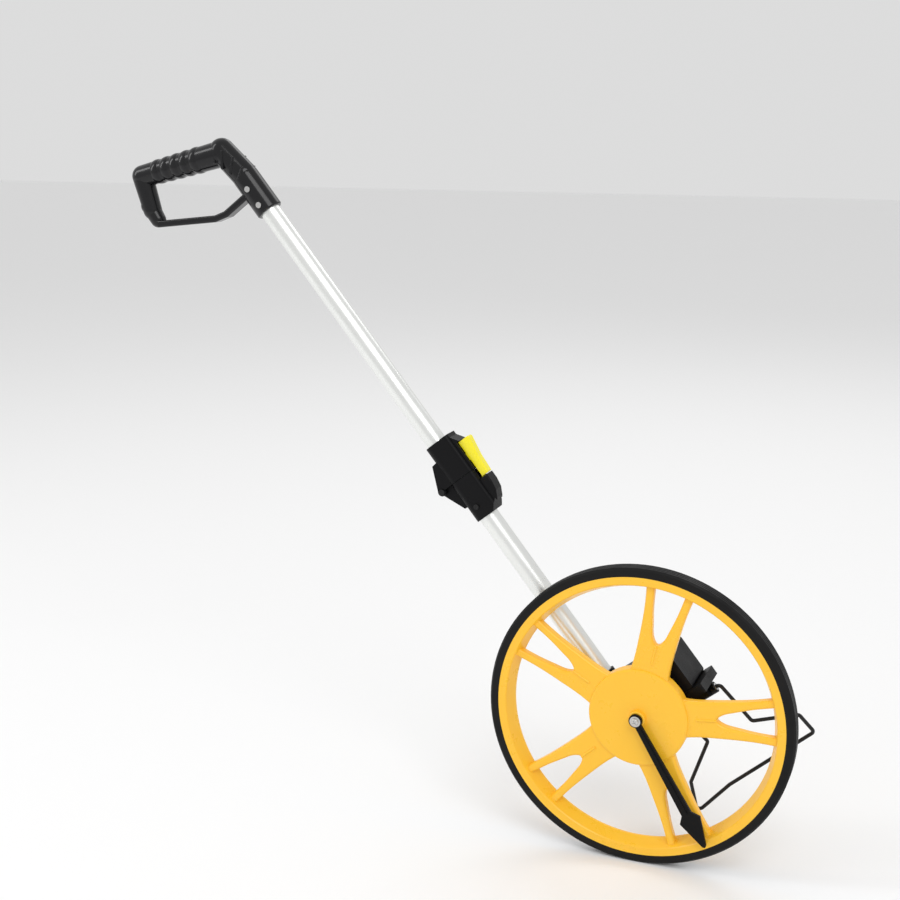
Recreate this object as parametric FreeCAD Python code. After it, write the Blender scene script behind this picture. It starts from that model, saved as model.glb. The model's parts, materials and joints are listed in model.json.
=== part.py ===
import FreeCAD, Part
import math
import os
from FreeCAD import Vector, Rotation, Placement

# Folding measuring wheel with a counter, a ground pointer and a wire stand.
# Everything is drawn upright, with the pole along +Z and the axle at the origin,
# then leaned back and lifted so that the tyre rests on the ground plane.
# +X is forward, +Y runs along the axle away from the pointer side.

# ---------- driving sizes, mm ----------
circumference = 1000.0
lean_deg = 51.0
tyre_width = 17.7
tyre_depth = 9.35
rim_depth_front = 7.8
rim_depth_back = 13.6
hub_r = 52.0
spoke_count = 5
spoke_phase_deg = 39.4
spoke_front_inset = 4.0
spoke_thick = 11.0
hub_front_inset = 2.0
nose_r = 8.6
nose_len = 5.0
axle_r = 4.0
bush_wall = 2.0
hub_tail_r = 9.0
run_gap = 0.05
pointer_short = 13.15
pointer_thick = 3.0
pointer_eye_r = 7.0
pointer_lean_deg = -7.6
tube_r = 11.0
tube_wall = 1.2
tube_x = -23.0
tube_y = 36.0
lower_tube_bottom = 4.0
fold_z = 304.0
tube_end_gap = 7.0
case_y0 = 16.0
case_y1 = 69.0
case_x0 = -40.0
case_x1 = 60.0
case_z0 = -7.0
case_z1 = 36.5
case_top = 40.0
case_wall = 2.4
base_thick = 10.0
base_proud = 9.0
nose_drop = 28.0
module = 1.0
drive_teeth = 20
idler_teeth = 18
gear_y = 19.2
gear_width = 4.6
train_angle_deg = 23.2
pressure_deg = 20.0
drum_r = 15.5
drum_width = 6.6
drum_gap = 0.6
drum_count = 5
shaft_r = 2.5
wire_r = 2.0
stand_y = 51.0
stand_z = -24.5
stand_lean_deg = 20.0
stand_rear = 26.0
stand_boss = 6.0
stand_boss_r = 6.0
stand_washer = 1.0
wire_bend = 4.0
washer_r = 9.0
tube_bolt_lift = 5.4
socket_depth = 18.0
pin_x = -47.0
pin_r = 2.5
lug_r = 4.6
latch_low = fold_z - 48.0
latch_high = fold_z + 46.0
latch_rear = tube_x - tube_r - 1.2
latch_front = tube_x + tube_r + 9.0
latch_half = tube_r + 2.0
cheek_in = 6.0
cheek_out = 11.0
hood_half = 9.5
button_low = fold_z - 11.4
button_high = fold_z + 32.0
button_half = 5.5
button_pin_x = -2.2
button_pin_z = fold_z + 14.0
sleeve_low = 657.0
sleeve_high = sleeve_low + 45.0
sleeve_r = tube_r + 3.7
upper_tube_top = sleeve_low + 55.0
grip_r = 12.8
guard_thick = 7.5
guard_width = 17.0
tip_flat = 0.08

wheel_r = circumference / (2.0 * math.pi)
pointer_len = wheel_r - pointer_short
rim_r = wheel_r - tyre_depth
half_w = tyre_width / 2.0
gear_step = module * (drive_teeth + idler_teeth) / 2.0
train = math.radians(train_angle_deg)
idler_x = gear_step * math.cos(train)
idler_z = gear_step * math.sin(train)
shaft_x = 2.0 * idler_x
shaft_z = 2.0 * idler_z
pointer_y = -half_w + hub_front_inset - nose_len - 1.0
button_pin_r = 1.3
latch_screw_height = latch_low + 14.0


# ---------- small helpers ----------
def cyl_y(r, y0, y1, x=0.0, z=0.0):
    return Part.makeCylinder(r, y1 - y0, Vector(x, y0, z), Vector(0, 1, 0))


def cyl_z(r, z0, z1, x=0.0, y=0.0):
    return Part.makeCylinder(r, z1 - z0, Vector(x, y, z0), Vector(0, 0, 1))


def cyl_x(r, x0, x1, y=0.0, z=0.0):
    return Part.makeCylinder(r, x1 - x0, Vector(x0, y, z), Vector(1, 0, 0))


def block(x0, x1, y0, y1, z0, z1):
    return Part.makeBox(x1 - x0, y1 - y0, z1 - z0, Vector(x0, y0, z0))


def plate_y(points, y0, y1):
    corners = [Vector(x, y0, z) for x, z in points]
    wire = Part.makePolygon(corners + [corners[0]])
    return Part.Face(wire).extrude(Vector(0, y1 - y0, 0))


def ring_y(r_out, r_in, y0, y1, x=0.0, z=0.0):
    return cyl_y(r_out, y0, y1, x, z).cut(cyl_y(r_in, y0 - 1, y1 + 1, x, z))


def turned(points):
    corners = [Vector(r, y, 0) for r, y in points]
    wire = Part.makePolygon(corners + [corners[0]])
    return Part.Face(wire).revolve(Vector(0, 0, 0), Vector(0, 1, 0), 360)


def polar(r, deg):
    a = math.radians(deg)
    return (r * math.cos(a), r * math.sin(a))


def spin(shape, deg):
    out = shape.copy()
    out.rotate(Vector(0, 0, 0), Vector(0, 1, 0), -deg)
    return out


def fuse_all(shapes):
    whole = shapes[0].fuse(shapes[1:]) if len(shapes) > 1 else shapes[0]
    return whole.removeSplitter()


def edges_at_y(shape, y):
    found = []
    for edge in shape.Edges:
        box = edge.BoundBox
        if abs(box.YMin - y) < 1e-4 and abs(box.YMax - y) < 1e-4:
            found.append(edge)
    return found


def long_edges(shape, axis, shortest):
    found = []
    for edge in shape.Edges:
        if edge.Length < shortest or len(edge.Vertexes) < 2:
            continue
        run = edge.Vertexes[1].Point.sub(edge.Vertexes[0].Point)
        if abs(abs(run.dot(axis)) - run.Length) < 1e-6:
            found.append(edge)
    return found


# ---------- wheel ----------
def tyre():
    edge = 2.0
    body = turned([(rim_r, -half_w), (wheel_r - edge, -half_w), (wheel_r, -half_w + edge),
                   (wheel_r, half_w - edge), (wheel_r - edge, half_w), (rim_r, half_w)])
    for y in (-half_w * 0.45, 0.0, half_w * 0.45):
        body = body.cut(ring_y(wheel_r + 1, wheel_r - 0.7, y - 0.5, y + 0.5))
    return body


def spoke():
    reach = rim_r - 5.0
    fork = math.radians(8.4)
    arm = 4.6
    tip = reach * math.sin(fork)
    y0 = -half_w + spoke_front_inset
    outer = [Vector(40, y0, 21.6), Vector(62, y0, 19.0), Vector(80, y0, 19.3),
             Vector(105, y0, tip * 0.86 + arm - 2.4), Vector(reach, y0, tip + arm)]
    inner = [Vector(reach, y0, tip - arm), Vector(115, y0, tip * 0.8 - arm),
             Vector(96, y0, 8.2), Vector(85, y0, 4.6), Vector(80.6, y0, 0)]
    left = Part.BSplineCurve()
    left.interpolate(outer)
    left_in = Part.BSplineCurve()
    left_in.interpolate(inner + [Vector(p.x, y0, -p.z) for p in reversed(inner[:-1])])
    right = Part.BSplineCurve()
    right.interpolate([Vector(p.x, y0, -p.z) for p in outer])
    edges = [left.toShape(), Part.makeLine(outer[-1], inner[0]), left_in.toShape(),
             Part.makeLine(Vector(reach, y0, -inner[0].z), Vector(reach, y0, -outer[-1].z)),
             right.toShape(), Part.makeLine(Vector(40, y0, -21.6), Vector(40, y0, 21.6))]
    face = Part.Face(Part.Wire(Part.__sortEdges__(edges)))
    body = face.extrude(Vector(0, spoke_thick, 0))
    soft = edges_at_y(body, y0) + edges_at_y(body, y0 + spoke_thick)
    soft = [e for e in soft if e.Length > 60]
    body = body.makeFillet(2.9, soft)
    ridge = cyl_x(1.3, 60, 79, y0 + 0.2, 0).fuse(Part.makeSphere(1.3, Vector(79, y0 + 0.2, 0)))
    return body.fuse(ridge)


def wheel():
    y_front = -half_w + hub_front_inset
    y_back = half_w
    rim = turned([(rim_r, -half_w), (rim_r, half_w), (rim_r - rim_depth_back, half_w),
                  (rim_r - rim_depth_back, half_w - 2.5), (rim_r - rim_depth_front - 1.0, -half_w + 1.2),
                  (rim_r - rim_depth_front, -half_w)])
    hub = turned([(0, y_front), (hub_r - 2.4, y_front), (hub_r - 0.7, y_front + 0.7), (hub_r, y_front + 2.4),
                  (hub_r, y_back - 1.5), (hub_r - 1.5, y_back), (0, y_back)])
    recess = ring_y(hub_r - 6, 16.0, y_front + 6.0, y_back + 1)
    nose = cyl_y(nose_r, y_front - nose_len, y_front + 1)
    nose = nose.makeFillet(1.2, edges_at_y(nose, y_front - nose_len))
    tail = cyl_y(hub_tail_r, y_back - 5, gear_y)
    ribs = [spin(block(12, hub_r - 3, y_front + 5, y_back - 1, -1.25, 1.25), 36 + 72 * k + spoke_phase_deg)
            for k in range(spoke_count)]
    spokes = [spin(spoke(), spoke_phase_deg + 360.0 / spoke_count * k) for k in range(spoke_count)]
    body = fuse_all([hub.cut(recess), rim, nose, tail] + ribs + spokes)
    return body.cut(cyl_y(axle_r + bush_wall, y_front - nose_len - 1, gear_y + 1))


def hub_bushes():
    y_front = -half_w + hub_front_inset - nose_len
    r_in = axle_r + run_gap
    front = ring_y(axle_r + bush_wall, r_in, y_front, y_front + 12)
    back = ring_y(axle_r + bush_wall, r_in, gear_y - 14, gear_y)
    return Part.makeCompound([front, back])


def gear_tooth_points(teeth, thin):
    pitch_r = module * teeth / 2.0
    base_r = pitch_r * math.cos(math.radians(pressure_deg))
    tip_r = pitch_r + module * 0.92
    root_r = pitch_r - module * 1.22
    inv_p = math.tan(math.radians(pressure_deg)) - math.radians(pressure_deg)
    half = math.pi / (2 * teeth) + inv_p - thin / (2 * pitch_r)
    start = max(base_r, root_r + 0.05)
    flank = []
    for i in range(7):
        r = start + (tip_r - start) * i / 6.0
        a = math.acos(min(1.0, base_r / r))
        flank.append((r, half - (math.tan(a) - a)))
    return root_r, flank


def gear(teeth, phase_deg, x, z, y0, y1, bore_r, thin=0.14):
    root_r, flank = gear_tooth_points(teeth, thin)
    points = []
    for k in range(teeth):
        mid = math.radians(phase_deg + 360.0 * k / teeth)
        points.append((root_r, mid - flank[0][1]))
        points += [(r, mid - a) for r, a in flank]
        points += [(r, mid + a) for r, a in reversed(flank)]
        points.append((root_r, mid + flank[0][1]))
    outline = [(x + r * math.cos(a), z + r * math.sin(a)) for r, a in points]
    return plate_y(outline, y0, y1).cut(cyl_y(bore_r, y0 - 1, y1 + 1, x, z))


def drive_gear():
    return gear(drive_teeth, train_angle_deg, 0, 0, gear_y, gear_y + gear_width, axle_r + run_gap)


def idler_gear():
    phase = train_angle_deg + 180.0 + 180.0 / idler_teeth
    return gear(idler_teeth, phase, idler_x, idler_z, gear_y, gear_y + gear_width, 2.0 + run_gap)


def input_gear():
    return gear(drive_teeth, train_angle_deg + 180.0, shaft_x, shaft_z, gear_y, gear_y + gear_width, shaft_r)


def idler_pin():
    return cyl_y(2.0, case_y0 + case_wall - 1.2, gear_y + gear_width + 0.6, idler_x, idler_z).fuse(
        cyl_y(3.2, gear_y + gear_width + 0.3, gear_y + gear_width + 1.1, idler_x, idler_z))


# ---------- axle and pointer ----------
def axle():
    front = pointer_y - pointer_thick - 1.0
    rod = cyl_y(axle_r, pointer_y + 0.3, case_y1 + 6)
    spigot = cyl_y(2.6, front, pointer_y + 0.3)
    flat = cyl_y(7.5, case_y1 - case_wall - 2.2, case_y1 - case_wall)
    return fuse_all([rod, spigot, flat]).cut(cyl_y(1.5, front - 1, front + 9))


def axle_nut():
    corners = [polar(7.5, 60 * k + 30) for k in range(6)]
    return plate_y(corners, case_y1 + 1.4, case_y1 + 5.6).cut(cyl_y(axle_r, case_y1, case_y1 + 7))


def axle_washers():
    back = ring_y(washer_r, axle_r, case_y1, case_y1 + 1.4)
    front = ring_y(5.6, 2.6, pointer_y - pointer_thick - 1.0, pointer_y - pointer_thick - 0.4)
    spacer = ring_y(6.4, 2.6, pointer_y + 0.1, pointer_y + 0.3)
    return Part.makeCompound([back, front, spacer])


def pointer():
    y1 = pointer_y - 0.1
    y0 = y1 - pointer_thick + 0.2
    neck = pointer_len * 0.735
    barb = pointer_len * 0.785
    outline = [(-3.3, 0), (3.3, 0), (5.6, -neck), (11.8, -barb), (2.2, -pointer_len + 1.5),
               (0.6, -pointer_len), (-0.6, -pointer_len), (-2.2, -pointer_len + 1.5),
               (-11.8, -barb), (-5.6, -neck)]
    blade = plate_y(outline, y0, y1)
    rib = plate_y([(-1.4, -6), (1.4, -6), (1.4, -neck), (-1.4, -neck)], y0 - 0.7, y0 + 0.5)
    body = fuse_all([blade, cyl_y(pointer_eye_r, y0, y1), rib])
    return spin(body.cut(cyl_y(2.6 + run_gap, y0 - 2, y1 + 1)), pointer_lean_deg)


def pointer_bolt():
    y = pointer_y - pointer_thick - 1.0
    head = cyl_y(3.7, y - 2.2, y)
    head = head.makeFillet(0.9, edges_at_y(head, y - 2.2))
    cross = block(-0.45, 0.45, y - 3, y - 1.2, -2.2, 2.2).fuse(block(-2.2, 2.2, y - 3, y - 1.2, -0.45, 0.45))
    return fuse_all([head, cyl_y(1.5, y, y + 8)]).cut(cross)


# ---------- counter case ----------
def case_outline(inset):
    x0 = case_x0 + inset
    x1 = case_x1 - inset
    top = case_top - inset
    return [(x0, case_z0), (x1, case_z0), (x1, case_z1 - inset * 0.7), (tube_x + tube_r + 8.0, top),
            (x0, top)]


def counter_case():
    outer = plate_y(case_outline(0), case_y0, case_y1)
    outer = outer.makeFillet(3.0, long_edges(outer, Vector(0, 1, 0), 20))
    inner = plate_y(case_outline(case_wall), case_y0 + case_wall, case_y1 - case_wall)
    inner = inner.fuse(block(case_x0 + case_wall, case_x1 - case_wall, case_y0 + case_wall,
                             case_y1 - case_wall, case_z0 - 1, case_z0 + 1))
    shell = outer.cut(inner)
    socket = cyl_z(tube_r + 2.5, case_top - socket_depth, case_top + 2 * tube_bolt_lift, tube_x, tube_y)
    far_boss = cyl_y(8.0, case_y1 - case_wall - 2.2 - 4, case_y1 - 1, 0, 0)
    far_boss = far_boss.cut(cyl_y(7.5, case_y1 - case_wall - 8, case_y1 - case_wall, 0, 0))
    shaft_near = cyl_y(5.0, case_y0 + 1, gear_y - 0.5, shaft_x, shaft_z)
    shaft_far = cyl_y(5.0, case_y1 - case_wall - 1.2, case_y1 - 1, shaft_x, shaft_z)
    pin_boss = cyl_y(4.0, case_y0 + 1, gear_y - 0.4, idler_x, idler_z)
    body = fuse_all([shell, socket, far_boss, shaft_near, shaft_far, pin_boss])
    body = body.cut(cyl_z(tube_r, case_top - socket_depth - 1, case_top + 12, tube_x, tube_y))
    body = body.cut(cyl_y(hub_tail_r + 0.6, case_y0 - 1, case_y0 + case_wall + 1))
    body = body.cut(cyl_y(axle_r, case_y1 - 10, case_y1 + 1))
    body = body.cut(cyl_y(shaft_r + run_gap, case_y0 + 0.9, case_y1 + 1, shaft_x, shaft_z))
    body = body.cut(cyl_y(2.0, case_y0 + 1.0, gear_y, idler_x, idler_z))
    body = body.cut(cyl_y(2.1, case_y0 - 1, case_y1 + 1, tube_x, case_top + tube_bolt_lift))
    opening = drum_window_box(4.0, -8.0, 8.0)
    return body.cut(opening)


def top_slope_frame():
    x_a = tube_x + tube_r + 8.0
    run = Vector(case_x1 - x_a, 0, case_z1 - case_top)
    mid = Vector((case_x1 + x_a) / 2.0 + 3.0, 0, 0)
    slope = math.degrees(math.atan2(-run.z, run.x))
    mid.z = case_top + (mid.x - x_a) * run.z / run.x
    return mid, slope


def drum_row():
    length = drum_count * drum_width + (drum_count - 1) * drum_gap
    start = gear_y + gear_width + 3.0
    return start, start + length


def drum_window_box(margin, low, high):
    mid, slope = top_slope_frame()
    start, end = drum_row()
    box = block(-9, 9, start - 1, end + 1, low, high)
    box.rotate(Vector(0, 0, 0), Vector(0, 1, 0), slope)
    box.translate(mid)
    return box


def counter_window():
    mid, slope = top_slope_frame()
    start, end = drum_row()
    lens = block(-9, 9, start - 1, end + 1, -1.6, 0.6)
    rim = block(-11.5, 11.5, start - 3.4, end + 3.4, 0.0, 1.6)
    rim = rim.makeFillet(0.7, [e for e in rim.Edges if e.BoundBox.ZMin > 1.5])
    body = fuse_all([lens, rim])
    body.rotate(Vector(0, 0, 0), Vector(0, 1, 0), slope)
    body.translate(mid)
    return body


def case_base():
    top = case_z0
    low = case_z0 - base_thick
    plate = block(case_x0 + 14, case_x1 + base_proud, case_y0 - 1.5, case_y1 + 1.5, low, top)
    plate = plate.makeFillet(2.0, long_edges(plate, Vector(0, 0, 1), 5))
    nose = block(stand_rear, case_x1, stand_y - 14, stand_y + 12, -nose_drop, low)
    nose = nose.makeFillet(2.5, long_edges(nose, Vector(1, 0, 0), 30))
    boss = cyl_x(stand_boss_r, stand_rear - stand_boss, case_x1 + stand_boss, stand_y, stand_z)
    body = fuse_all([plate, nose, boss])
    body = body.cut(cyl_x(wire_r + run_gap, stand_rear - 9, case_x1 + 9, stand_y, stand_z))
    for x, y in base_screw_spots():
        body = body.cut(cyl_z(1.5, low - 1, top + 1, x, y))
        body = body.cut(cyl_z(3.0, low - 1, low + 3, x, y))
    gear_tip = module * (drive_teeth / 2.0 + 1.0)
    body = body.cut(cyl_y(gear_tip + 1.0, case_y0 - 3, gear_y + gear_width + 1.0))
    return body.cut(cyl_y(washer_r + 0.6, case_y1 - 10, case_y1 + 9))


def base_screw_spots():
    return [(case_x0 + 20, case_y0 + 5.2), (case_x0 + 20, case_y1 - 5.2),
            (case_x1 - 5.5, case_y0 + 5.2), (case_x1 - 5.5, case_y1 - 5.2)]


def screw_posts():
    posts = [cyl_z(3.6, case_z0, case_z0 + 14, x, y) for x, y in base_screw_spots()]
    return posts


def counter_case_with_posts():
    body = fuse_all([counter_case()] + screw_posts())
    for x, y in base_screw_spots():
        body = body.cut(cyl_z(1.5, case_z0 - 1, case_z0 + 10, x, y))
    return body


def base_screws():
    low = case_z0 - base_thick
    made = []
    for x, y in base_screw_spots():
        one = fuse_all([cyl_z(3.0, low + 0.6, low + 3, x, y), cyl_z(1.5, low + 3, case_z0 + 9, x, y)])
        cross = block(x - 1.8, x + 1.8, y - 0.35, y + 0.35, low, low + 1.6)
        made.append(one.cut(cross))
    return Part.makeCompound(made)


def tube_bolt():
    z = case_top + tube_bolt_lift
    y_in = tube_y - tube_r - 2.5
    y_out = tube_y + tube_r + 2.5
    rod = cyl_y(2.1, y_in - 0.2, y_out + 3.4, tube_x, z)
    head = cyl_y(4.0, y_in - 2.6, y_in - 0.2, tube_x, z)
    nut = plate_y([(tube_x + a, z + b) for a, b in [polar(4.4, 60 * k) for k in range(6)]],
                  y_out + 0.2, y_out + 3.0)
    return fuse_all([rod, head, nut])


# ---------- counter ----------
def drum_shaft():
    return cyl_y(shaft_r, case_y0 + 1.0, case_y1 + 7.0, shaft_x, shaft_z)


def number_drum(index):
    start = drum_row()[0] + index * (drum_width + drum_gap)
    bore_r = shaft_r if index == 0 else shaft_r + run_gap
    body = ring_y(drum_r, bore_r, start, start + drum_width, shaft_x, shaft_z)
    groove = ring_y(drum_r - 3, shaft_r + 3, start - 0.1, start + 1.2, shaft_x, shaft_z)
    return body.cut(groove)


def reset_lever():
    y0 = case_y1 + 3.2
    hub = cyl_y(6.0, y0, y0 + 4.4, shaft_x, shaft_z)
    arm = plate_y([(shaft_x - 3.4, shaft_z), (shaft_x + 3.4, shaft_z), (shaft_x + 12.6, shaft_z + 20),
                   (shaft_x + 7.0, shaft_z + 22)], y0 + 0.6, y0 + 3.8)
    pad = cyl_y(5.0, y0 - 0.0, y0 + 7.0, shaft_x + 9.8, shaft_z + 21)
    pad = pad.makeFillet(1.2, edges_at_y(pad, y0 + 7.0))
    return fuse_all([hub, arm, pad]).cut(cyl_y(shaft_r + run_gap, y0 - 1, y0 + 6, shaft_x, shaft_z))


def reset_spring():
    turns = [ring_y(4.4, 3.4, case_y1 + 0.35 + 0.9 * k, case_y1 + 1.0 + 0.9 * k, shaft_x, shaft_z)
             for k in range(3)]
    links = [cyl_y(0.45, case_y1 + 0.0, case_y1 + 3.1, shaft_x, shaft_z - 3.9)]
    return fuse_all(turns + links)


# ---------- stand ----------
def stand_point(x, drop):
    lean = math.tan(math.radians(stand_lean_deg))
    return Vector(x, stand_y + (drop + stand_z) * lean, -drop)


def stand_wire():
    front = case_x1 + stand_boss + stand_washer + wire_bend
    rear = stand_rear - stand_boss - stand_washer - wire_bend
    hip = -stand_z
    spots = [stand_point(case_x1 - 6, hip), stand_point(front, hip), stand_point(front - 2.5, hip + 53.5),
             stand_point(front + 41, hip + 73.5), stand_point(front + 40, hip + 99),
             stand_point(-3, hip + 104.5),
             stand_point(-31, hip + 109.5), stand_point(-55, hip + 114.5), stand_point(-34, hip + 79.5),
             stand_point(rear, hip + 48.5), stand_point(rear, hip), stand_point(stand_rear + 6, hip)]
    return bent_wire(spots, wire_r, wire_bend)


def bent_wire(spots, r, bend):
    edges = []
    last = spots[0]
    for i in range(1, len(spots) - 1):
        here = spots[i]
        a = spots[i - 1].sub(here)
        b = spots[i + 1].sub(here)
        a.normalize()
        b.normalize()
        half = math.acos(max(-1.0, min(1.0, a.dot(b)))) / 2.0
        if abs(half - math.pi / 2) < 0.02:
            continue
        trim = min(bend / math.tan(half), spots[i - 1].sub(here).Length * 0.45,
                   spots[i + 1].sub(here).Length * 0.45)
        radius = trim * math.tan(half)
        p = here.add(Vector(a).multiply(trim))
        q = here.add(Vector(b).multiply(trim))
        middle = Vector(a).add(b)
        middle.normalize()
        centre = here.add(Vector(middle).multiply(radius / math.sin(half)))
        top = centre.add(Vector(middle).multiply(-radius))
        edges.append(Part.makeLine(last, p))
        edges.append(Part.Arc(p, top, q).toShape())
        last = q
    edges.append(Part.makeLine(last, spots[-1]))
    path = Part.Wire(edges)
    heading = spots[1].sub(spots[0])
    ring = Part.Wire(Part.makeCircle(r, spots[0], heading))
    return path.makePipeShell([ring], True, True)


def stand_washers():
    bore = cyl_x(wire_r + run_gap, stand_rear - 9, case_x1 + 9, stand_y, stand_z)
    made = [cyl_x(4.2, x, x + stand_washer, stand_y, stand_z).cut(bore)
            for x in (case_x1 + stand_boss, stand_rear - stand_boss - stand_washer)]
    return Part.makeCompound(made)


# ---------- pole ----------
def tube(z0, z1):
    return cyl_z(tube_r, z0, z1, tube_x, tube_y).cut(cyl_z(tube_r - tube_wall, z0 - 1, z1 + 1, tube_x, tube_y))


def lower_tube():
    body = tube(lower_tube_bottom, fold_z - tube_end_gap)
    body = body.cut(cyl_y(2.1, tube_y - 20, tube_y + 20, tube_x, case_top + tube_bolt_lift))
    return body.cut(cyl_y(1.6, tube_y - 20, tube_y + 20, tube_x, latch_screw_height))


def upper_tube():
    body = tube(fold_z + tube_end_gap, upper_tube_top)
    for z in handle_screw_heights():
        body = body.cut(cyl_y(1.6, tube_y - 20, tube_y + 20, tube_x, z))
    return body


def tube_plugs():
    return cyl_z(tube_r - tube_wall, lower_tube_bottom, lower_tube_bottom + 8, tube_x, tube_y)


# ---------- fold joint ----------
def latch_core(z0, z1):
    body = block(latch_rear, latch_front, tube_y - latch_half, tube_y + latch_half, z0, z1)
    rear = [e for e in long_edges(body, Vector(0, 0, 1), 10) if e.BoundBox.XMax < latch_rear + 1]
    body = body.makeFillet(9.0, rear)
    front = [e for e in long_edges(body, Vector(0, 0, 1), 10) if e.BoundBox.XMin > latch_front - 1]
    return body.makeFillet(4.5, front)


def latch_base():
    core = latch_core(latch_low, fold_z - 0.2)
    hood_low = latch_low + 6.0
    hood = plate_y([(latch_front - 4, hood_low - 4), (latch_front - 1, hood_low - 3), (0.5, hood_low + 3),
                    (5.0, hood_low + 11), (6.8, hood_low + 21), (6.8, button_low - 0.8),
                    (latch_front - 4, button_low - 0.8)], tube_y - hood_half, tube_y + hood_half)
    hood = hood.makeFillet(2.2, [e for e in hood.Edges if e.BoundBox.YLength < 0.01 and e.BoundBox.XMax > 0])
    lug_low = fold_z - 28.5
    tongue = plate_y([(latch_rear + 6, lug_low - 1), (latch_rear - 3.5, lug_low), (pin_x - 3.6, fold_z - 3.0),
                      (pin_x, fold_z), (latch_rear + 6, fold_z - 0.2)],
                     tube_y - cheek_in + 0.2, tube_y + cheek_in - 0.2)
    eye = cyl_y(lug_r, tube_y - cheek_in + 0.2, tube_y + cheek_in - 0.2, pin_x, fold_z)
    slot = block(latch_front - 3.4, 3.4, tube_y - button_half - 0.6, tube_y + button_half + 0.6,
                 button_low - 12, fold_z + 1)
    chin = plate_y([(latch_front + 2, latch_low - 1), (latch_front + 2, latch_low + 11),
                    (latch_front - 7.5, latch_low - 1)], tube_y - latch_half - 1, tube_y + latch_half + 1)
    body = fuse_all([core, hood, tongue, eye])
    body = body.cut(slot)
    body = body.cut(chin)
    body = body.cut(cyl_z(tube_r, latch_low - 1, fold_z - tube_end_gap, tube_x, tube_y))
    body = body.cut(cyl_z(tube_r - 3, latch_low, fold_z + 1, tube_x, tube_y))
    body = body.cut(cyl_y(pin_r + run_gap, tube_y - 20, tube_y + 20, pin_x, fold_z))
    return body.cut(cyl_y(1.6, tube_y - 20, tube_y + 20, tube_x, latch_screw_height))


def latch_top():
    core = latch_core(fold_z + 0.2, latch_high)
    brow = plate_y([(latch_front - 4, button_high + 0.8), (3.4, button_high + 0.8), (-5.0, latch_high - 1.5),
                    (latch_front - 4, latch_high - 1.5)], tube_y - hood_half, tube_y + hood_half)
    rails = [plate_y([(latch_front - 4, fold_z + 0.2), (latch_front + 2.6, fold_z + 0.2),
                      (latch_front + 2.6, button_high + 2), (latch_front - 4, button_high + 2)], a, b)
             for a, b in ((tube_y - hood_half, tube_y - button_half - 0.8),
                          (tube_y + button_half + 0.8, tube_y + hood_half))]
    cheeks = []
    for a, b in ((tube_y - cheek_out, tube_y - cheek_in), (tube_y + cheek_in, tube_y + cheek_out)):
        cheeks.append(plate_y([(latch_rear + 6, fold_z + 29), (latch_rear - 3.5, fold_z + 28),
                               (pin_x - 3.8, fold_z + 2.4), (pin_x, fold_z), (latch_rear - 2, fold_z + 0.2),
                               (latch_rear + 6, fold_z + 0.2)], a, b))
        cheeks.append(cyl_y(lug_r, a, b, pin_x, fold_z))
    web = plate_y([(latch_rear + 6, fold_z + 29), (latch_rear - 3.5, fold_z + 28),
                   (latch_rear - 6.5, fold_z + 21),
                   (latch_rear + 6, fold_z + 21)], tube_y - cheek_in, tube_y + cheek_in)
    body = fuse_all([core, brow, web] + rails + cheeks)
    body = body.cut(block(latch_front - 3.4, 12, tube_y - button_half - 0.6, tube_y + button_half + 0.6,
                          fold_z - 1, button_high + 0.8))
    body = body.cut(cyl_z(tube_r, fold_z + tube_end_gap, latch_high + 1, tube_x, tube_y))
    body = body.cut(cyl_z(tube_r - 3, fold_z, latch_high, tube_x, tube_y))
    body = body.cut(cyl_y(pin_r, tube_y - 20, tube_y + 20, pin_x, fold_z))
    return body.cut(cyl_y(button_pin_r, tube_y - hood_half + 1, tube_y + hood_half - 1,
                          button_pin_x, button_pin_z))


def hinge_pin():
    rod = cyl_y(pin_r, tube_y - cheek_out - 0.6, tube_y + cheek_out + 0.6, pin_x, fold_z)
    head = cyl_y(3.4, tube_y - cheek_out - 1.5, tube_y - cheek_out, pin_x, fold_z)
    tail = cyl_y(3.0, tube_y + cheek_out, tube_y + cheek_out + 1.2, pin_x, fold_z)
    return fuse_all([rod, head, tail])


def latch_button():
    y0 = tube_y - button_half
    y1 = tube_y + button_half
    body = plate_y([(0.0, button_low), (8.4, button_low), (9.6, fold_z + 8), (13.6, fold_z + 30), (12.4, button_high),
                    (0.0, button_high)], y0, y1)
    body = body.makeFillet(1.6, [e for e in body.Edges if e.BoundBox.XMin > 7.0])
    nose = plate_y([(0.0, button_low + 3), (-3.0, button_low - 6), (-1.8, button_low - 7.5),
                    (-0.6, button_low - 2), (2.0, button_low + 3)], y0 + 1, y1 - 1)
    root = plate_y([(0.5, button_pin_z - 5), (button_pin_x, button_pin_z - 2.6),
                    (button_pin_x, button_pin_z + 2.6),
                    (0.5, button_pin_z + 5)], y0, y1)
    hub = cyl_y(2.6, y0, y1, button_pin_x, button_pin_z)
    body = fuse_all([body, nose, root, hub])
    return body.cut(cyl_y(button_pin_r + run_gap, y0 - 1, y1 + 1, button_pin_x, button_pin_z))


def latch_pin():
    return cyl_y(button_pin_r, tube_y - hood_half + 1, tube_y + hood_half - 1, button_pin_x, button_pin_z)


def latch_spring():
    x0 = latch_front - 3.1
    x1 = -0.35
    helix = Part.makeHelix((x1 - x0) / 3.0, x1 - x0, 1.6)
    section = Part.Wire(Part.makeCircle(0.28, Vector(1.6, 0, 0), Vector(0, 1, 0)))
    coil = Part.Wire(helix).makePipeShell([section], True, True)
    coil.Placement = Placement(Vector(x0, tube_y, button_pin_z + 12), Rotation(Vector(0, 0, 1), Vector(1, 0, 0)))
    return coil


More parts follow.
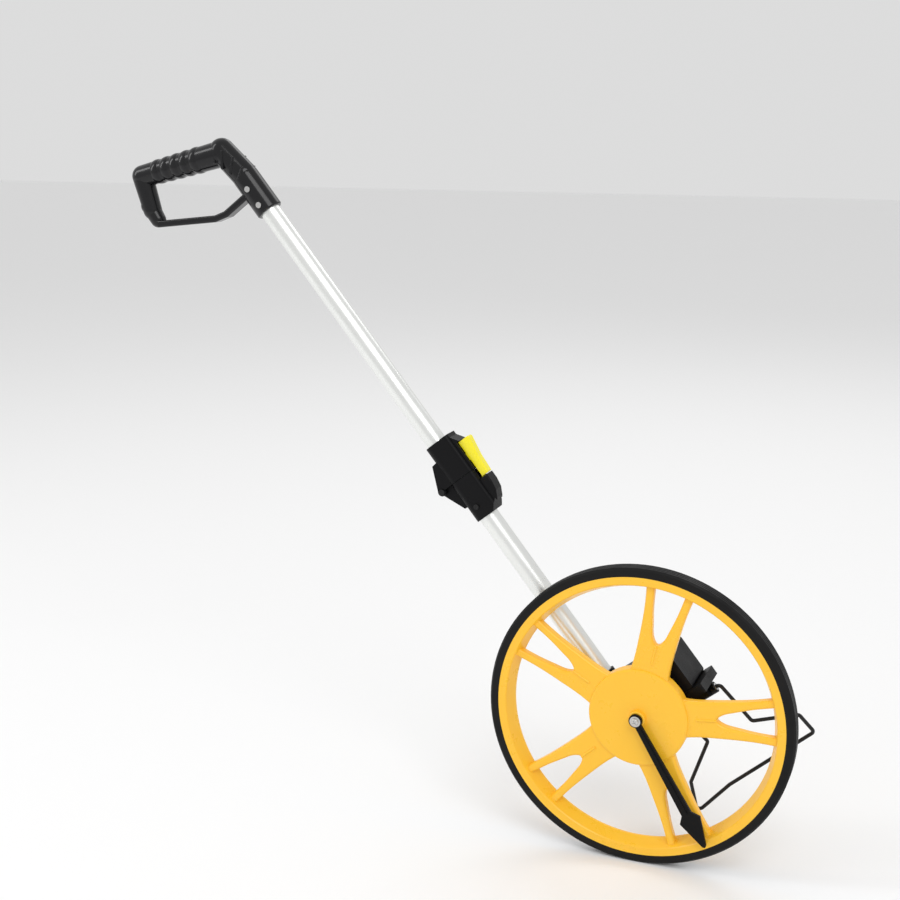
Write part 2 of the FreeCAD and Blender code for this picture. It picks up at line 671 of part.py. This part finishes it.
def latch_screws():
    z = latch_screw_height
    near = fuse_all([cyl_y(1.6, tube_y - latch_half - 0.3, tube_y - tube_r + tube_wall + 0.5, tube_x, z),
                     cyl_y(3.0, tube_y - latch_half - 1.4, tube_y - latch_half, tube_x, z)])
    far = fuse_all([cyl_y(1.6, tube_y + tube_r - tube_wall - 0.5, tube_y + latch_half + 0.3, tube_x, z),
                    cyl_y(3.0, tube_y + latch_half, tube_y + latch_half + 1.4, tube_x, z)])
    return Part.makeCompound([near, far])


# ---------- handle ----------
def handle_screw_heights():
    return [sleeve_low + 9.0, sleeve_low + 30.0]


def round_bar(x0, z0, r0, x1, z1, r1, y=tube_y, bumps=0):
    start = Vector(x0, y, z0)
    run = Vector(x1, y, z1).sub(start)
    length = run.Length
    flat0 = r0 * tip_flat
    flat1 = r1 * tip_flat
    low = -math.sqrt(r0 ** 2 - flat0 ** 2)
    high = length + math.sqrt(r1 ** 2 - flat1 ** 2)
    diagonal = math.sqrt(0.5)
    edges = [Part.makeLine(Vector(0, 0, low), Vector(flat0, 0, low)),
             Part.Arc(Vector(flat0, 0, low), Vector(r0 * diagonal, 0, -r0 * diagonal), Vector(r0, 0, 0)).toShape()]
    last = Vector(r0, 0, 0)
    for k in range(bumps):
        z_low = length * (0.24 + 0.62 * k / bumps)
        z_high = length * (0.24 + 0.62 * (k + 0.7) / bumps)
        r_low = r0 + (r1 - r0) * z_low / length
        r_high = r0 + (r1 - r0) * z_high / length
        peak = Vector((r_low + r_high) / 2.0 + 0.9, 0, (z_low + z_high) / 2.0)
        edges.append(Part.makeLine(last, Vector(r_low, 0, z_low)))
        edges.append(Part.Arc(Vector(r_low, 0, z_low), peak, Vector(r_high, 0, z_high)).toShape())
        last = Vector(r_high, 0, z_high)
    edges.append(Part.makeLine(last, Vector(r1, 0, length)))
    edges.append(Part.Arc(Vector(r1, 0, length), Vector(r1 * diagonal, 0, length + r1 * diagonal),
                          Vector(flat1, 0, high)).toShape())
    edges.append(Part.makeLine(Vector(flat1, 0, high), Vector(0, 0, high)))
    edges.append(Part.makeLine(Vector(0, 0, high), Vector(0, 0, low)))
    body = Part.Face(Part.Wire(edges)).revolve(Vector(0, 0, 0), Vector(0, 0, 1), 360)
    body.Placement = Placement(start, Rotation(Vector(0, 0, 1), run))
    return body


def sleeve_bar():
    low = sleeve_low
    edges = [Part.makeLine(Vector(0, 0, low), Vector(sleeve_r - 1.4, 0, low)),
             Part.makeLine(Vector(sleeve_r - 1.4, 0, low), Vector(sleeve_r, 0, low + 1.4)),
             Part.makeLine(Vector(sleeve_r, 0, low + 1.4), Vector(sleeve_r, 0, sleeve_high)),
             Part.Arc(Vector(sleeve_r, 0, sleeve_high), Vector(sleeve_r * 0.75, 0, sleeve_high + sleeve_r * 0.62),
                      Vector(sleeve_r * tip_flat, 0, sleeve_high + sleeve_r * 0.9)).toShape(),
             Part.makeLine(Vector(sleeve_r * tip_flat, 0, sleeve_high + sleeve_r * 0.9),
                           Vector(0, 0, sleeve_high + sleeve_r * 0.9)),
             Part.makeLine(Vector(0, 0, sleeve_high + sleeve_r * 0.9), Vector(0, 0, low))]
    body = Part.Face(Part.Wire(edges)).revolve(Vector(0, 0, 0), Vector(0, 0, 1), 360)
    body.translate(Vector(tube_x, tube_y, 0))
    return body


def guard_bar():
    half = guard_thick / 2.0
    line = [(-141, sleeve_low + 73), (-80, sleeve_low + 33.5), (-66, sleeve_low + 29),
            (tube_x - 4, sleeve_low + 28)]
    upper = []
    lower = []
    for i in range(len(line)):
        before = line[max(i - 1, 0)]
        after = line[min(i + 1, len(line) - 1)]
        dx = after[0] - before[0]
        dz = after[1] - before[1]
        size = math.hypot(dx, dz)
        upper.append((line[i][0] - dz / size * half, line[i][1] + dx / size * half))
        lower.append((line[i][0] + dz / size * half, line[i][1] - dx / size * half))
    bar = plate_y(upper + lower[::-1], tube_y - guard_width / 2, tube_y + guard_width / 2)
    soft = [e for e in bar.Edges if e.BoundBox.YLength < 0.01 and e.Length > 10]
    return bar.makeFillet(2.2, soft)


def sleeve_ribs():
    spots = [(-37, 77, -31, 87), (-33, 66, -22, 80), (-29, 56, -16, 67), (-26, 45, -14, 52)]
    made = []
    for x0, up0, x1, up1 in spots:
        z0 = sleeve_low + up0
        z1 = sleeve_low + up1
        middle = tube_x - 5.0 * max(0.0, (z0 + z1) / 2.0 - sleeve_high) / 38.0
        for side in (-1, 1):
            depth = math.sqrt(max(1.0, (sleeve_r - 0.6) ** 2 - ((x0 + x1) / 2 - middle) ** 2))
            made.append(round_bar(x0, z0, 1.8, x1, z1, 1.2, tube_y + side * (depth - 0.2)))
    return made


def handle_whole():
    parts = [sleeve_bar(),
             round_bar(tube_x, sleeve_high + 4, sleeve_r - 0.15, -28, sleeve_low + 84.5, sleeve_r - 0.7),
             round_bar(-31.3, sleeve_low + 83.2, sleeve_r - 0.3, -125, sleeve_low + 126.5, grip_r - 0.6, tube_y, 5),
             round_bar(-126, sleeve_low + 126, grip_r - 1.2, -140.5, sleeve_low + 91, 10.4),
             round_bar(-139.8, sleeve_low + 97, 10.1, -141.5, sleeve_low + 79, 8.7),
             guard_bar()]
    body = parts[0]
    for one in parts[1:] + sleeve_ribs():
        body = body.fuse(one)
    body = body.cut(cyl_z(tube_r, sleeve_low - 1, upper_tube_top + 0.2, tube_x, tube_y))
    for z in handle_screw_heights():
        body = body.cut(cyl_y(1.6, tube_y - 20, tube_y + 20, tube_x, z))
    return body.cut(round_bar(-60, sleeve_low + 94, 9.4, -121, sleeve_low + 124.3, 8.6))


def handle_half(side):
    whole = handle_whole()
    if side < 0:
        keep = block(-200, 50, tube_y - 40, tube_y, sleeve_low - 57, sleeve_low + 193)
    else:
        keep = block(-200, 50, tube_y, tube_y + 40, sleeve_low - 57, sleeve_low + 193)
    return whole.common(keep)


def handle_screws():
    made = []
    for z in handle_screw_heights():
        y = tube_y - sleeve_r - 0.3
        made.append(fuse_all([cyl_y(3.2, y - 1.0, y + 0.3, tube_x, z),
                              cyl_y(1.6, y, tube_y + sleeve_r - 2, tube_x, z)]))
    return Part.makeCompound(made)


def build_all():
    made = {
        "tyre": tyre(),
        "wheel": wheel(),
        "hub_bushes": hub_bushes(),
        "drive_gear": drive_gear(),
        "idler_gear": idler_gear(),
        "input_gear": input_gear(),
        "idler_pin": idler_pin(),
        "axle": axle(),
        "axle_nut": axle_nut(),
        "axle_washers": axle_washers(),
        "pointer": pointer(),
        "pointer_bolt": pointer_bolt(),
        "counter_case": counter_case_with_posts(),
        "case_base": case_base(),
        "base_screws": base_screws(),
        "tube_bolt": tube_bolt(),
        "counter_window": counter_window(),
        "drum_shaft": drum_shaft(),
        "reset_lever": reset_lever(),
        "reset_spring": reset_spring(),
        "stand_wire": stand_wire(),
        "stand_washers": stand_washers(),
        "lower_tube": lower_tube(),
        "upper_tube": upper_tube(),
        "lower_tube_plug": tube_plugs(),
        "lower_latch_block": latch_base(),
        "upper_latch_case": latch_top(),
        "hinge_pin": hinge_pin(),
        "latch_button": latch_button(),
        "latch_pin": latch_pin(),
        "latch_spring": latch_spring(),
        "latch_screws": latch_screws(),
        "handle_near_half": handle_half(-1),
        "handle_far_half": handle_half(1),
        "handle_screws": handle_screws(),
    }
    for i in range(drum_count):
        made["number_drum_%d" % (i + 1)] = number_drum(i)
    return made


def to_ground(shape):
    out = shape.copy()
    out.rotate(Vector(0, 0, 0), Vector(0, 1, 0), lean_deg - 90.0)
    out.translate(Vector(0, 0, wheel_r))
    return out


os.makedirs("parts", exist_ok=True)
for name, shape in build_all().items():
    placed = to_ground(shape)
    print(name, "solids", len(placed.Solids), "valid", placed.isValid(), "volume", round(placed.Volume, 1))
    placed.exportStep("parts/" + name + ".step")
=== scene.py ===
import bpy
import bmesh
import json
import math
from mathutils import Matrix, Vector


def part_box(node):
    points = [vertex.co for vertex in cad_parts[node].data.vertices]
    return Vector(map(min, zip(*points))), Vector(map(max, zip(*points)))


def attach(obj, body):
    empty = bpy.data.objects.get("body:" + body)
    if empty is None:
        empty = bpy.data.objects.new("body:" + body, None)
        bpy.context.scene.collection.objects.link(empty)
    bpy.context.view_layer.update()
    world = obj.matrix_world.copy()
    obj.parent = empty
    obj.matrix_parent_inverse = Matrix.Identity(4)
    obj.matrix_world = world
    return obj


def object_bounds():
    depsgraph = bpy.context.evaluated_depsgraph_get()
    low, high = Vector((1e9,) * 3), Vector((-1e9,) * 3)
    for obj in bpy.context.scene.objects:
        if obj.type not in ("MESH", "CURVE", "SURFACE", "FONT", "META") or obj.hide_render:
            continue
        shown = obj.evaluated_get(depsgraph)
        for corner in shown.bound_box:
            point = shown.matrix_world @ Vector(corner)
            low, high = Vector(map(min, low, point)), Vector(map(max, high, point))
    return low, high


MM = 0.001
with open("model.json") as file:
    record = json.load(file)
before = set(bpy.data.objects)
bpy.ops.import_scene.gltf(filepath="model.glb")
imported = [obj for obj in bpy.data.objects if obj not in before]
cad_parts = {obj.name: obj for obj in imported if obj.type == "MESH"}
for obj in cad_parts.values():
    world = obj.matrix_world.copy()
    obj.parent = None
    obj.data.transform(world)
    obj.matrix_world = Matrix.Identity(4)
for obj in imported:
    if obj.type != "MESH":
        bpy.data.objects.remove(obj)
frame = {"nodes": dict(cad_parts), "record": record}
cad_low, cad_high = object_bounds()


# ---------- shared effects ----------
def new_group(name, inputs, outputs):
    group = bpy.data.node_groups.new(name, "ShaderNodeTree")
    for label, kind, value in inputs:
        socket = group.interface.new_socket(name=label, in_out="INPUT", socket_type=kind)
        socket.default_value = value
    for label, kind in outputs:
        group.interface.new_socket(name=label, in_out="OUTPUT", socket_type=kind)
    start = group.nodes.new("NodeGroupInput")
    end = group.nodes.new("NodeGroupOutput")
    return group, start, end


def moulded_grain_group():
    group, start, end = new_group(
        "moulded_grain",
        [("Grain Scale", "NodeSocketFloat", 900.0), ("Ripple Scale", "NodeSocketFloat", 45.0),
         ("Ripple Share", "NodeSocketFloat", 0.35)],
        [("Height", "NodeSocketFloat")])
    place = group.nodes.new("ShaderNodeTexCoord")
    fine = group.nodes.new("ShaderNodeTexNoise")
    fine.inputs["Detail"].default_value = 3.0
    broad = group.nodes.new("ShaderNodeTexNoise")
    broad.inputs["Detail"].default_value = 2.0
    blend = group.nodes.new("ShaderNodeMix")
    links = group.links
    links.new(place.outputs["Object"], fine.inputs["Vector"])
    links.new(place.outputs["Object"], broad.inputs["Vector"])
    links.new(start.outputs["Grain Scale"], fine.inputs["Scale"])
    links.new(start.outputs["Ripple Scale"], broad.inputs["Scale"])
    links.new(start.outputs["Ripple Share"], blend.inputs["Factor"])
    links.new(fine.outputs["Fac"], blend.inputs["A"])
    links.new(broad.outputs["Fac"], blend.inputs["B"])
    links.new(blend.outputs["Result"], end.inputs["Height"])
    return group


def tone_drift_group():
    group, start, end = new_group(
        "tone_drift",
        [("Main", "NodeSocketColor", (0.5, 0.5, 0.5, 1)), ("Deep", "NodeSocketColor", (0.4, 0.4, 0.4, 1)),
         ("Scale", "NodeSocketFloat", 9.0), ("Amount", "NodeSocketFloat", 0.5)],
        [("Color", "NodeSocketColor")])
    place = group.nodes.new("ShaderNodeTexCoord")
    cloud = group.nodes.new("ShaderNodeTexNoise")
    cloud.inputs["Detail"].default_value = 4.0
    weight = group.nodes.new("ShaderNodeMath")
    weight.operation = "MULTIPLY"
    blend = group.nodes.new("ShaderNodeMix")
    blend.data_type = "RGBA"
    links = group.links
    links.new(place.outputs["Object"], cloud.inputs["Vector"])
    links.new(start.outputs["Scale"], cloud.inputs["Scale"])
    links.new(cloud.outputs["Fac"], weight.inputs[0])
    links.new(start.outputs["Amount"], weight.inputs[1])
    links.new(weight.outputs["Value"], blend.inputs["Factor"])
    links.new(start.outputs["Main"], blend.inputs["A"])
    links.new(start.outputs["Deep"], blend.inputs["B"])
    links.new(blend.outputs["Result"], end.inputs["Color"])
    return group


def handling_sheen_group():
    group, start, end = new_group(
        "handling_sheen",
        [("Low", "NodeSocketFloat", 0.3), ("High", "NodeSocketFloat", 0.5),
         ("Scale", "NodeSocketFloat", 30.0)],
        [("Roughness", "NodeSocketFloat")])
    place = group.nodes.new("ShaderNodeTexCoord")
    patches = group.nodes.new("ShaderNodeTexNoise")
    patches.inputs["Detail"].default_value = 6.0
    patches.inputs["Roughness"].default_value = 0.65
    spread = group.nodes.new("ShaderNodeMapRange")
    spread.inputs["From Min"].default_value = 0.35
    spread.inputs["From Max"].default_value = 0.65
    links = group.links
    links.new(place.outputs["Object"], patches.inputs["Vector"])
    links.new(start.outputs["Scale"], patches.inputs["Scale"])
    links.new(patches.outputs["Fac"], spread.inputs["Value"])
    links.new(start.outputs["Low"], spread.inputs["To Min"])
    links.new(start.outputs["High"], spread.inputs["To Max"])
    links.new(spread.outputs["Result"], end.inputs["Roughness"])
    return group


GRAIN = moulded_grain_group()
DRIFT = tone_drift_group()
SHEEN = handling_sheen_group()


def finish_with(name, main, deep, low, high, bump, drift_scale=9.0, grain_scale=900.0, ripple=0.35):
    material = bpy.data.materials.new(name)
    material.use_nodes = True
    nodes = material.node_tree.nodes
    links = material.node_tree.links
    shader = nodes["Principled BSDF"]
    tone = nodes.new("ShaderNodeGroup")
    tone.node_tree = DRIFT
    tone.inputs["Main"].default_value = (*main, 1)
    tone.inputs["Deep"].default_value = (*deep, 1)
    tone.inputs["Scale"].default_value = drift_scale
    sheen = nodes.new("ShaderNodeGroup")
    sheen.node_tree = SHEEN
    sheen.inputs["Low"].default_value = low
    sheen.inputs["High"].default_value = high
    grain = nodes.new("ShaderNodeGroup")
    grain.node_tree = GRAIN
    grain.inputs["Grain Scale"].default_value = grain_scale
    grain.inputs["Ripple Share"].default_value = ripple
    relief = nodes.new("ShaderNodeBump")
    relief.inputs["Strength"].default_value = bump
    relief.inputs["Distance"].default_value = 0.2 * MM
    links.new(tone.outputs["Color"], shader.inputs["Base Color"])
    links.new(sheen.outputs["Roughness"], shader.inputs["Roughness"])
    links.new(grain.outputs["Height"], relief.inputs["Height"])
    links.new(relief.outputs["Normal"], shader.inputs["Normal"])
    return material, shader


# ---------- finishes ----------
def amber_plastic():
    material, shader = finish_with("amber_plastic", (0.98, 0.56, 0.032), (0.95, 0.48, 0.02), 0.24, 0.36, 0.25)
    shader.inputs["Subsurface Weight"].default_value = 0.08
    shader.inputs["Subsurface Radius"].default_value = (0.004, 0.002, 0.0005)
    shader.inputs["Subsurface Scale"].default_value = 0.5
    return material


def lemon_plastic():
    material, shader = finish_with("lemon_plastic", (0.95, 0.84, 0.012), (0.92, 0.78, 0.01), 0.22, 0.34, 0.2)
    shader.inputs["Coat Weight"].default_value = 0.15
    return material


def tyre_rubber():
    material, shader = finish_with("tyre_rubber", (0.004, 0.004, 0.004),
                                   (0.010, 0.010, 0.010), 0.46, 0.66, 0.6,
                                   24.0, 1400.0, 0.2)
    shader.inputs["Specular IOR Level"].default_value = 0.2
    return material


def black_case_plastic():
    material, shader = finish_with("black_case_plastic", (0.003, 0.003, 0.0035),
                                   (0.008, 0.008, 0.009), 0.34, 0.46,
                                   0.55, 14.0, 1600.0, 0.15)
    shader.inputs["Specular IOR Level"].default_value = 0.13
    return material


def glossy_grip_plastic():
    material, shader = finish_with("glossy_grip_plastic", (0.004, 0.004, 0.005),
                                   (0.012, 0.012, 0.013), 0.12, 0.24,
                                   0.3, 20.0, 700.0, 0.6)
    shader.inputs["Specular IOR Level"].default_value = 0.25
    shader.inputs["Coat Weight"].default_value = 0.2
    shader.inputs["Coat Roughness"].default_value = 0.12
    return material


def satin_tube():
    material, shader = finish_with("satin_tube", (0.88, 0.89, 0.87), (0.78, 0.79, 0.77), 0.26, 0.36, 0.12,
                                   30.0, 2200.0, 0.1)
    shader.inputs["Metallic"].default_value = 0.85
    return material


def bright_steel():
    material, shader = finish_with("bright_steel", (0.62, 0.62, 0.61), (0.48, 0.48, 0.47), 0.2, 0.36, 0.15,
                                   200.0, 2500.0, 0.3)
    shader.inputs["Metallic"].default_value = 1.0
    return material


def painted_wire():
    material, shader = finish_with("painted_wire", (0.005, 0.005, 0.006),
                                   (0.014, 0.013, 0.012), 0.28, 0.46, 0.35,
                                   60.0, 1200.0, 0.4)
    shader.inputs["Specular IOR Level"].default_value = 0.3
    return material


def cream_gear_plastic():
    return finish_with("cream_gear_plastic", (0.82, 0.80, 0.72), (0.74, 0.71, 0.62), 0.34, 0.46, 0.2)[0]


def drum_white():
    return finish_with("drum_white", (0.86, 0.86, 0.84), (0.78, 0.78, 0.75), 0.35, 0.45, 0.15)[0]


def digit_ink():
    return finish_with("digit_ink", (0.01, 0.01, 0.012), (0.03, 0.03, 0.03), 0.4, 0.5, 0.1)[0]


def clear_window():
    material, shader = finish_with("clear_window", (0.95, 0.97, 0.97), (0.9, 0.93, 0.93), 0.03, 0.07, 0.05)
    shader.inputs["Transmission Weight"].default_value = 1.0
    shader.inputs["IOR"].default_value = 1.49
    return material


def dress(material, *names):
    for name in names:
        mesh = frame["nodes"][name].data
        mesh.materials.clear()
        mesh.materials.append(material)


FINISHES = {
    "yellow_plastic": amber_plastic(),
    "button_plastic": lemon_plastic(),
    "tyre_rubber": tyre_rubber(),
    "black_plastic": black_case_plastic(),
    "grip_plastic": glossy_grip_plastic(),
    "anodised_tube": satin_tube(),
    "bright_steel": bright_steel(),
    "black_steel": painted_wire(),
    "gear_plastic": cream_gear_plastic(),
    "window_plastic": clear_window(),
}
for part in frame["record"]["subparts"]:
    dress(FINISHES[part["material_slot"]], part["node"])
DRUMS = ["number_drum_%d" % k for k in range(1, 6)]
dress(drum_white(), *DRUMS)


# ---------- digits on the drums ----------
def middle_of(node):
    low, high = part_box(node)
    return (low + high) / 2.0


def digit_ring(drum, ink):
    low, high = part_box(drum)
    middle = (low + high) / 2.0
    radius = (high.x - low.x) / 2.0
    size = (high.y - low.y) * 0.95
    ring = bmesh.new()
    for k in range(10):
        curve = bpy.data.curves.new("digit", "FONT")
        curve.body = str(k)
        curve.size = size
        curve.extrude = 0.12 * MM
        curve.align_x = "CENTER"
        curve.align_y = "CENTER"
        writer = bpy.data.objects.new("digit", curve)
        shape = bpy.data.meshes.new_from_object(writer)
        turn = Matrix.Rotation(math.radians(36.0 * k), 4, "Y")
        stand = Matrix.Rotation(math.radians(90.0), 4, "Z")
        lift = Matrix.Translation(Vector((0, 0, radius)))
        shape.transform(Matrix.Translation(middle) @ turn @ lift @ stand)
        ring.from_mesh(shape)
        bpy.data.objects.remove(writer)
        bpy.data.curves.remove(curve)
        bpy.data.meshes.remove(shape)
    bmesh.ops.remove_doubles(ring, verts=ring.verts, dist=1e-6)
    bmesh.ops.recalc_face_normals(ring, faces=ring.faces)
    mesh = bpy.data.meshes.new(drum + "_digits")
    ring.to_mesh(mesh)
    ring.free()
    mesh.materials.append(ink)
    digits = bpy.data.objects.new(drum + "_digits", mesh)
    bpy.context.scene.collection.objects.link(digits)
    return digits


INK = digit_ink()
DRUM_BODY = {n: b for b, ns in frame["record"]["behaviour"]["bodies"].items() for n in ns}
for drum in DRUMS:
    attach(digit_ring(drum, INK), DRUM_BODY[drum])


# ---------- floor, light and camera ----------
def floor():
    sheet = bmesh.new()
    bmesh.ops.create_grid(sheet, x_segments=2, y_segments=2, size=12.0)
    mesh = bpy.data.meshes.new("studio_floor")
    sheet.to_mesh(mesh)
    sheet.free()
    mesh.materials.append(finish_with("studio_floor_paint", (0.94, 0.94, 0.94), (0.92, 0.92, 0.92), 0.7, 0.8,
                                      0.0, 0.4)[0])
    ground = bpy.data.objects.new("studio_floor", mesh)
    bpy.context.scene.collection.objects.link(ground)


def softbox(name, place, target, size, watts):
    lamp = bpy.data.lights.new(name, "AREA")
    lamp.shape = "RECTANGLE"
    lamp.size, lamp.size_y = size
    lamp.energy = watts
    holder = bpy.data.objects.new(name, lamp)
    holder.location = place
    holder.rotation_mode = "QUATERNION"
    holder.rotation_quaternion = (Vector(target) - Vector(place)).to_track_quat("-Z", "Y")
    bpy.context.scene.collection.objects.link(holder)


def daylight():
    world = bpy.data.worlds.new("studio_air")
    bpy.context.scene.world = world
    world.use_nodes = True
    air = world.node_tree.nodes["Background"]
    air.inputs["Color"].default_value = (1.0, 1.0, 1.0, 1)
    air.inputs["Strength"].default_value = 0.72


def camera():
    azimuth = math.radians(22.18)
    elevation = math.radians(13.17)
    distance = 1.4967
    aim = Vector((middle_of("tyre").x - 0.2084, 0.0, 0.4191))
    forward = Vector((-math.sin(azimuth) * math.cos(elevation), math.cos(azimuth) * math.cos(elevation),
                      -math.sin(elevation)))
    eye = bpy.data.cameras.new("camera")
    eye.sensor_width = 36.0
    eye.lens = 58.0
    holder = bpy.data.objects.new("camera", eye)
    holder.location = aim - forward * distance
    holder.rotation_mode = "QUATERNION"
    holder.rotation_quaternion = forward.to_track_quat("-Z", "Y")
    bpy.context.scene.collection.objects.link(holder)
    bpy.context.scene.camera = holder


bpy.context.scene.view_settings.view_transform = "Standard"
floor()
daylight()
centre = (cad_low + cad_high) / 2.0
softbox("key_light", centre + Vector((1.3, -1.8, 2.2)), centre, (1.6, 1.6), 30)
softbox("side_light", centre + Vector((-2.2, -1.0, 1.4)), centre, (0.5, 1.8), 14)
softbox("back_light", centre + Vector((0.2, 2.2, 2.0)), centre, (2.0, 1.0), 12)
camera()
